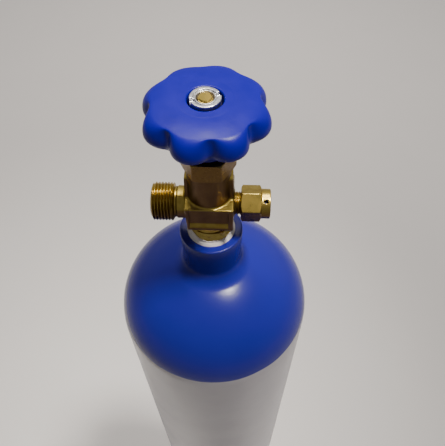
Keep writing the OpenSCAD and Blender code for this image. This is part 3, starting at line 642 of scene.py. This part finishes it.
def wheel_shape(radius, height, angle):
    """Lobed radius: the outline is the further of a circle and the nearest lobe's own circle,
    rounded where they meet. Its share of the full radius scales the rim and fades inwards."""
    off = (angle - math.radians(WHEEL_ANGLE)) % (2 * np.pi / LOBES)
    off = off - (off > np.pi / LOBES) * 2 * np.pi / LOBES
    centre = wheel_r - LOBE_R
    lobe = centre * np.cos(off) + np.sqrt(np.maximum(LOBE_R ** 2 - (centre * np.sin(off)) ** 2, 0))
    outline = np.minimum(-join(-lobe, -VALLEY_R, 1.2), wheel_r)
    fade = np.clip((radius - LOBE_START) / LOBE_FADE, 0, 1)
    fade = fade * fade * (3 - 2 * fade)
    return radius * (1 + (outline / wheel_r - 1) * fade)


wheel = turned("handwheel_moulding", spaced(wheel_outline, 0.55), sides=384, shape=wheel_shape,
               crease=50)
# Nylon 6 coloured in the melt, from a polished mould that has worn satin: faint flow marks,
# and a grain about 0.8 mm across.
moulded = empty_material("satin_moulded_nylon")
place = add(moulded, "ShaderNodeTexCoord").outputs["Object"]
flow = add(moulded, "ShaderNodeTexNoise",
           {"Vector": place, "Scale": 1 / 0.011, "Detail": 4}).outputs["Fac"]
tone = add(moulded, "ShaderNodeMix",
           {"Factor": flow, "A": linear("#0e027c"), "B": linear("#15048c")}, data_type="RGBA")
grain = add(moulded, "ShaderNodeTexNoise",
            {"Vector": place, "Scale": 1 / 0.0008, "Detail": 2}).outputs["Fac"]
waves = add(moulded, "ShaderNodeTexNoise",
            {"Vector": place, "Scale": 1 / 0.007, "Detail": 1}).outputs["Fac"]
both = add(moulded, "ShaderNodeMath", {0: waves, 1: 3.0, 2: grain},
           operation="MULTIPLY_ADD").outputs[0]
bump = add(moulded, "ShaderNodeBump",
           {"Height": both, "Strength": 0.12, "Distance": 0.00025}).outputs["Normal"]
rough = add(moulded, "ShaderNodeMapRange",
            {"Value": flow, "From Min": 0.3, "From Max": 0.7, "To Min": 0.3,
             "To Max": 0.42}).outputs[0]
shader = add(moulded, "ShaderNodeBsdfPrincipled", {
    "Base Color": tone.outputs["Result"], "Roughness": rough, "Normal": bump, "IOR": 1.5,
    "Specular IOR Level": 0.22})
add(moulded, "ShaderNodeOutputMaterial", {"Surface": shader.outputs[0]})
dress(wheel, "spindle", "wheel_plastic", moulded, "handwheel")

# ------------------------------------------------------------------ Handwheel spring
# Coil spring of zinc-plated wire between the washer and the nut, which lets the wheel settle.
WIRE_R, COIL_R, COILS = 0.65, 6.3, 4
turn = np.linspace(0, 2 * np.pi * COILS, 44 * COILS + 1)[:, None]
round_wire = np.linspace(0, 2 * np.pi, 14, endpoint=False)[None, :]
taper = np.concatenate([[0], np.ones(len(turn) - 2), [0]])[:, None]
spring_low, spring_high = washer_top + WIRE_R, nut_z - WIRE_R
coil_r = COIL_R + WIRE_R * taper * np.cos(round_wire)
climb = (spring_high - spring_low) * turn / turn[-1]
coil_z = spring_low + climb + WIRE_R * taper * np.sin(round_wire)
coil = np.stack([coil_r * np.cos(turn), coil_r * np.sin(turn), coil_z], -1)
spring = sweep("handwheel_spring_coil", coil, crease=60, ring=False)

# Zinc-plated steel: barrel plated after machining, bright with a faint spangle.
zinc = empty_material("bright_zinc_plated_steel")
place = add(zinc, "ShaderNodeTexCoord").outputs["Object"]
spangle = add(zinc, "ShaderNodeTexNoise",
              {"Vector": place, "Scale": 1 / 0.0024, "Detail": 3}).outputs["Fac"]
tone = add(zinc, "ShaderNodeMix",
           {"Factor": spangle, "A": linear("#c6c7ca"), "B": linear("#e2e2e4")}, data_type="RGBA")
bump = add(zinc, "ShaderNodeBump",
           {"Height": spangle, "Strength": 0.12, "Distance": 0.0001}).outputs["Normal"]
rough = add(zinc, "ShaderNodeMapRange",
            {"Value": spangle, "From Min": 0.3, "From Max": 0.7, "To Min": 0.26,
             "To Max": 0.38}).outputs[0]
shader = add(zinc, "ShaderNodeBsdfPrincipled", {
    "Base Color": tone.outputs["Result"], "Metallic": 1.0, "Roughness": rough, "Normal": bump})
add(zinc, "ShaderNodeOutputMaterial", {"Surface": shader.outputs[0]})
dress(spring, "spindle", "zinc_steel", zinc, "handwheel_spring")

# ------------------------------------------------------------------ Handwheel nut
# Round nut of zinc-plated steel with two slots for a pin spanner. It is screwed on the stem's
# tip against the spring, and has a raised collar round its bore.
COLLAR_R, COLLAR_DROP, NUT_ANGLE, SLOT_W, SLOT_H = 5.2, 0.2, 21, 2.4, 2.0
GROOVE_HALF, NUT_GROOVE_DEPTH = 0.35, 0.8


def nut_field(x, y, z):
    """Distance to the nut: a rounded disc, less a groove round the collar, slots and the bore."""
    turn = np.hypot(x, y)
    solid = rod(turn, z, nut_r, nut_z, nut_top, 0.55)
    groove = np.maximum(np.abs(turn - COLLAR_R - GROOVE_HALF) - GROOVE_HALF,
                        nut_top - NUT_GROOVE_DEPTH - z)
    solid = cut(solid, groove, 0.25)
    solid = np.maximum(solid, np.where(turn < COLLAR_R + 0.3, z - nut_top + COLLAR_DROP, -9))
    a = math.radians(NUT_ANGLE)
    out, beside = np.abs(x * math.cos(a) + y * math.sin(a)), y * math.cos(a) - x * math.sin(a)
    low, high = (COLLAR_R + 0.05, -SLOT_W / 2, nut_top - SLOT_H), (12, SLOT_W / 2, nut_top + 5)
    slot = bar(out, beside, z, low, high, 0.25)
    solid = cut(solid, slot, 0.3)
    bore = np.maximum(TIP_R + 0.1, TIP_R + 1.0 - 0.6 * np.maximum(nut_top - 0.4 - z, 0))
    return cut(solid, turn - bore, 0.2)


nut = from_field("handwheel_nut_slotted", nut_field, (-8.4, -8.4, nut_z - 0.5),
                 (8.4, 8.4, nut_top + 0.5), 0.12, crease=60)
dress(nut, "spindle", "zinc_steel", zinc, "handwheel_nut")

# ------------------------------------------------------------------ Pieces that keep CAD shapes
# The insert, the washer under the spring, and the works inside the valve keep their CAD shapes.


def plain_finish(name, light, dark, metallic, roughness, size, depth):
    """A bare moulded or rolled finish: two tones in a grain of the given size, with that depth."""
    material = empty_material(name)
    place = add(material, "ShaderNodeTexCoord").outputs["Object"]
    grain = add(material, "ShaderNodeTexNoise",
                {"Vector": place, "Scale": 1 / size, "Detail": 4}).outputs["Fac"]
    tone = add(material, "ShaderNodeMix", {"Factor": grain, "A": linear(light), "B": linear(dark)},
               data_type="RGBA")
    bump = add(material, "ShaderNodeBump",
               {"Height": grain, "Strength": 0.4, "Distance": depth}).outputs["Normal"]
    shader = add(material, "ShaderNodeBsdfPrincipled", {
        "Base Color": tone.outputs["Result"], "Metallic": metallic, "Roughness": roughness,
        "Normal": bump})
    add(material, "ShaderNodeOutputMaterial", {"Surface": shader.outputs[0]})
    return material


rubber = plain_finish("moulded_nitrile_rubber", "#1c1c1f", "#2c2c30", 0.0, 0.6, 0.0006, 0.00005)
nylon = plain_finish("turned_natural_nylon", "#ece5d2", "#ddd4bd", 0.0, 0.45, 0.002, 0.00005)
copper = plain_finish("rolled_copper", "#d08a5c", "#a8633a", 1.0, 0.35, 0.0012, 0.00004)
for name, material in (
        ("handwheel_insert", zinc), ("spring_seat_washer", zinc), ("drive_tang", turned_brass_z),
        ("valve_plug", turned_brass_z), ("disc_press_ring", turned_brass_z),
        ("stem_o_ring", rubber), ("thrust_washer", nylon), ("plug_seat_pad", nylon),
        ("burst_disc", copper), ("disc_gasket", copper)):
    frame["nodes"][name].data.materials.clear()
    frame["nodes"][name].data.materials.append(material)

# ------------------------------------------------------------------ Floor, light and camera
# A pale floor, a small key light high above and a little to the right, a soft ceiling light
# behind, and the camera close over the valve, looking steeply down.
floor_mesh = bpy.data.meshes.new("floor")
floor_mesh.from_pydata([(-9, -9, 0), (9, -9, 0), (9, 9, 0), (-9, 9, 0)], [], [(0, 1, 2, 3)])
floor = bpy.data.objects.new("floor", floor_mesh)
bpy.context.scene.collection.objects.link(floor)
pale = empty_material("pale_painted_floor")
place = add(pale, "ShaderNodeTexCoord").outputs["Object"]
mottle = add(pale, "ShaderNodeTexNoise",
             {"Vector": place, "Scale": 6.0, "Detail": 5}).outputs["Fac"]
tone = add(pale, "ShaderNodeMix",
           {"Factor": mottle, "A": linear("#ebe7e3"), "B": linear("#efebe7")}, data_type="RGBA")
shader = add(pale, "ShaderNodeBsdfPrincipled",
             {"Base Color": tone.outputs["Result"], "Roughness": 0.8})
add(pale, "ShaderNodeOutputMaterial", {"Surface": shader.outputs[0]})
floor_mesh.materials.append(pale)

world = bpy.data.worlds.new("studio")
bpy.context.scene.world = world
world.use_nodes = True
# The room is bright behind the object, like a pale wall, and dim in front of it.
sky = world.node_tree
direction = sky.nodes.new("ShaderNodeTexCoord")
axes = sky.nodes.new("ShaderNodeSeparateXYZ")
wall = sky.nodes.new("ShaderNodeMapRange")
wall.interpolation_type = "SMOOTHSTEP"
for key, value in (("From Min", -0.1), ("From Max", 0.75), ("To Min", 0.2), ("To Max", 0.5)):
    wall.inputs[key].default_value = value
sky.nodes["Background"].inputs["Color"].default_value = linear("#e8e6e4")
sky.links.new(direction.outputs["Generated"], axes.inputs[0])
sky.links.new(axes.outputs["Y"], wall.inputs["Value"])
sky.links.new(wall.outputs[0], sky.nodes["Background"].inputs["Strength"])


def soft_light(name, place, target, size, power, spread, colour):
    """Square area light at a place in metres, turned to shine on a target; spread is in degrees."""
    lamp = bpy.data.lights.new(name, "AREA")
    lamp.shape, lamp.size, lamp.energy = "SQUARE", size, power
    lamp.color = linear(colour)[:3]
    lamp.spread = math.radians(spread)
    made = bpy.data.objects.new(name, lamp)
    bpy.context.scene.collection.objects.link(made)
    back = (np.array(place) - target) / np.linalg.norm(np.array(place) - target)
    across = np.cross((0, 1, 0.001), back)
    across /= np.linalg.norm(across)
    axes = np.column_stack([across, np.cross(back, across), back, place])
    made.matrix_world = Matrix(np.vstack([axes, [0, 0, 0, 1]]).tolist())


soft_light("key", (0.46, -0.12, 2.47), (0, 0, 0.85), 0.25, 2.2, 38, "#fffaf2")
soft_light("ceiling", (-0.2, 1.0, 3.2), (0, 1.5, 0), 0.9, 30, 115, "#fff9f4")

# The camera stands 189 mm in front of the valve's axis and 257 mm above the neck, and looks 53
# degrees down. Its focal length is 502.7 lines of a picture 446 lines high.
PITCH, HEADING, ROLL = math.radians(53.1), (-0.0536, 0.9986), math.radians(0.87)
FOCUS, LINES = 502.7, 446
ahead = np.array([HEADING[0] * math.cos(PITCH), HEADING[1] * math.cos(PITCH), -math.sin(PITCH)])
ahead /= np.linalg.norm(ahead)
right = np.array([HEADING[1], -HEADING[0], 0])
down = np.cross(ahead, right)
c, s = math.cos(ROLL), math.sin(ROLL)
right, down = right * c + down * s, down * c - right * s
lens = bpy.data.cameras.new("camera")
lens.sensor_width, lens.lens, lens.clip_start = 36, 36 * FOCUS / LINES, 0.01
camera = bpy.data.objects.new("camera", lens)
bpy.context.scene.collection.objects.link(camera)
eye = np.array([0.0174, -0.1891, neck_top / 1000 + 0.2569])
view = np.column_stack([right, -down, -ahead, eye])
camera.matrix_world = Matrix(np.vstack([view, [0, 0, 0, 1]]).tolist())
bpy.context.scene.camera = camera
